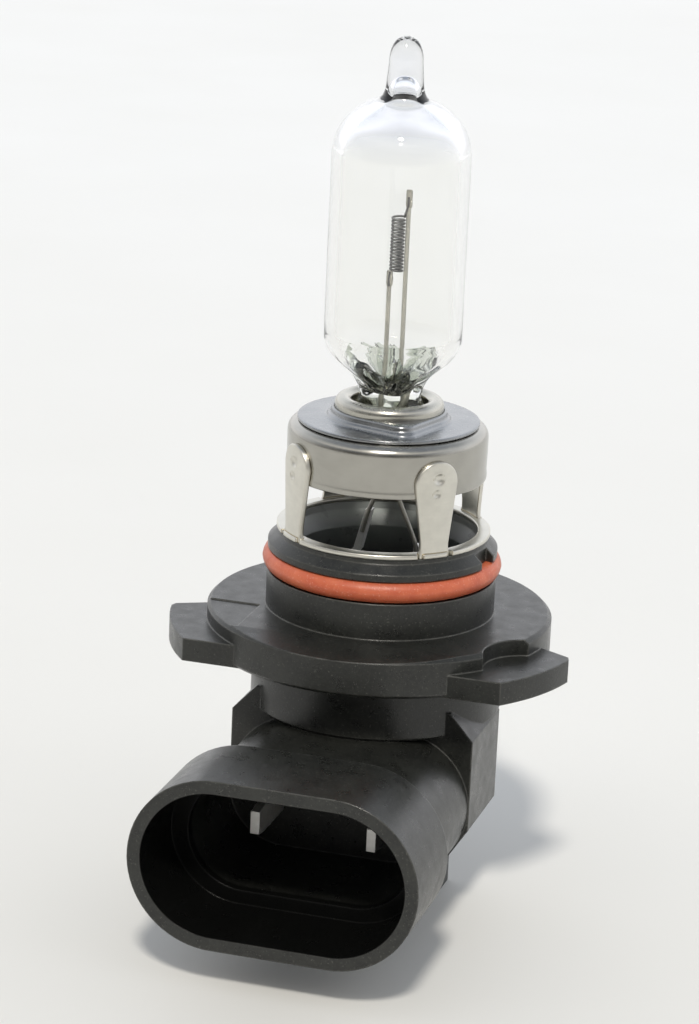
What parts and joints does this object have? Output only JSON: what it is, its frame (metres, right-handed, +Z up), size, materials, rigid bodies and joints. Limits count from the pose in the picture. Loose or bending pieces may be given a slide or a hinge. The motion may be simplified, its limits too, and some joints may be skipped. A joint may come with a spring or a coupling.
{
  "type": "headlight bulb",
  "caption": "Right-angle halogen headlight bulb: clear glass capsule and upright filament in a metal cap ring, on a black flanged base with a seal and a side connector.",
  "frame": {"origin": "on the bulb axis in the plane of the flange top, which seats against the lamp housing", "axes": "+Z up the bulb axis towards the exhaust tip, -Y out of the connector mouth, X across the connector"},
  "size_m": [0.0358, 0.0471, 0.0752],
  "materials": {
    "clear_glass": "clear, polished",
    "tungsten": "drawn tungsten wire, dull grey",
    "lead_wire": "molybdenum wire, dark grey",
    "cap_steel": "satin stainless steel, drawn",
    "leg_steel": "satin stainless steel, stamped",
    "silicone": "red-orange silicone, satin",
    "black_plastic": "moulded black engineering plastic, fine grain",
    "tinned_terminal": "tin plated copper alloy"
  },
  "bodies": {
    "root": {"glass_envelope": "clear_glass", "filament": "tungsten", "long_lead": "lead_wire", "short_lead": "lead_wire", "ferrule": "cap_steel", "alignment_disc": "cap_steel", "cup": "cap_steel", "leg_ring": "leg_steel", "seal_ring": "silicone", "base_housing": "black_plastic", "terminal_left": "tinned_terminal", "terminal_right": "tinned_terminal"}
  },
  "joints": []
}
